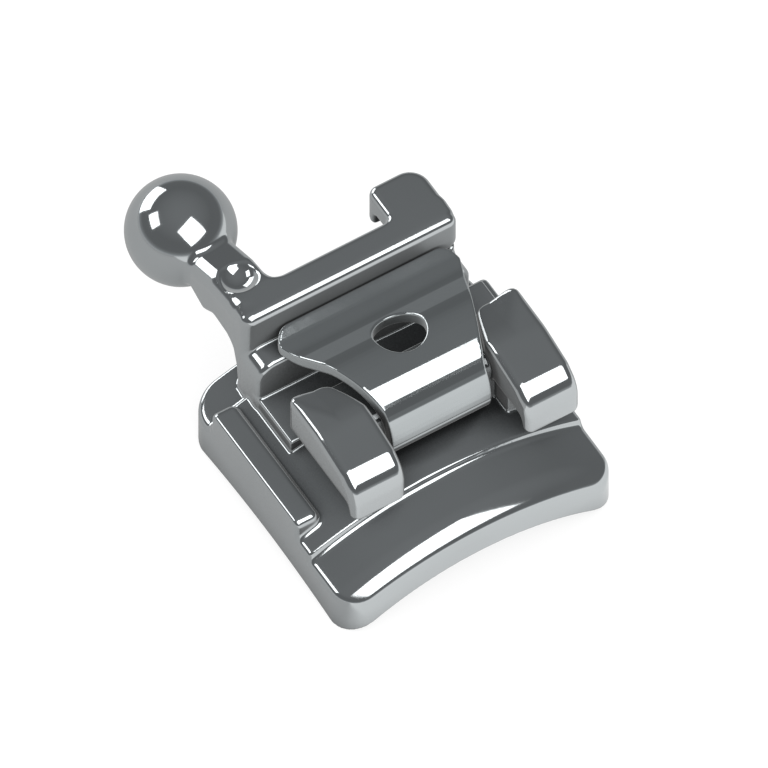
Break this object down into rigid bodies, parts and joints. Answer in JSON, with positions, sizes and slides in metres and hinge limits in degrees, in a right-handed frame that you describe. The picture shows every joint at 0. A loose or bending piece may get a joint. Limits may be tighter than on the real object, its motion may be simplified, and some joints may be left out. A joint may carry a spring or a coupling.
{
  "type": "self-ligating orthodontic bracket",
  "caption": "Tooth-bonded metal bracket with an archwire slot, tie wings, a sliding spring clip that closes the slot, and a ball hook for elastics",
  "frame": {"origin": "under the middle of the bonding pad, on the plane that the pad's four lower corners touch", "axes": "+X along the archwire slot, away from the end that carries the ball hook; +Y from the clip's front to the ball hook; +Z away from the tooth"},
  "size_m": [0.0034, 0.0051, 0.0021],
  "materials": {
    "cast_body": "one-piece stainless casting, tumbled and polished to a mirror",
    "spring_clip": "formed spring strip, electropolished"
  },
  "bodies": {
    "bracket": {"bracket_body": "cast_body"},
    "clip": {"spring_clip": "spring_clip"}
  },
  "joints": [
    {"name": "clip_slide", "type": "slide", "parent": "bracket", "child": "clip", "axis": [0, -0.9694, 0.2453], "range_m": [0, 0.00084]}
  ]
}
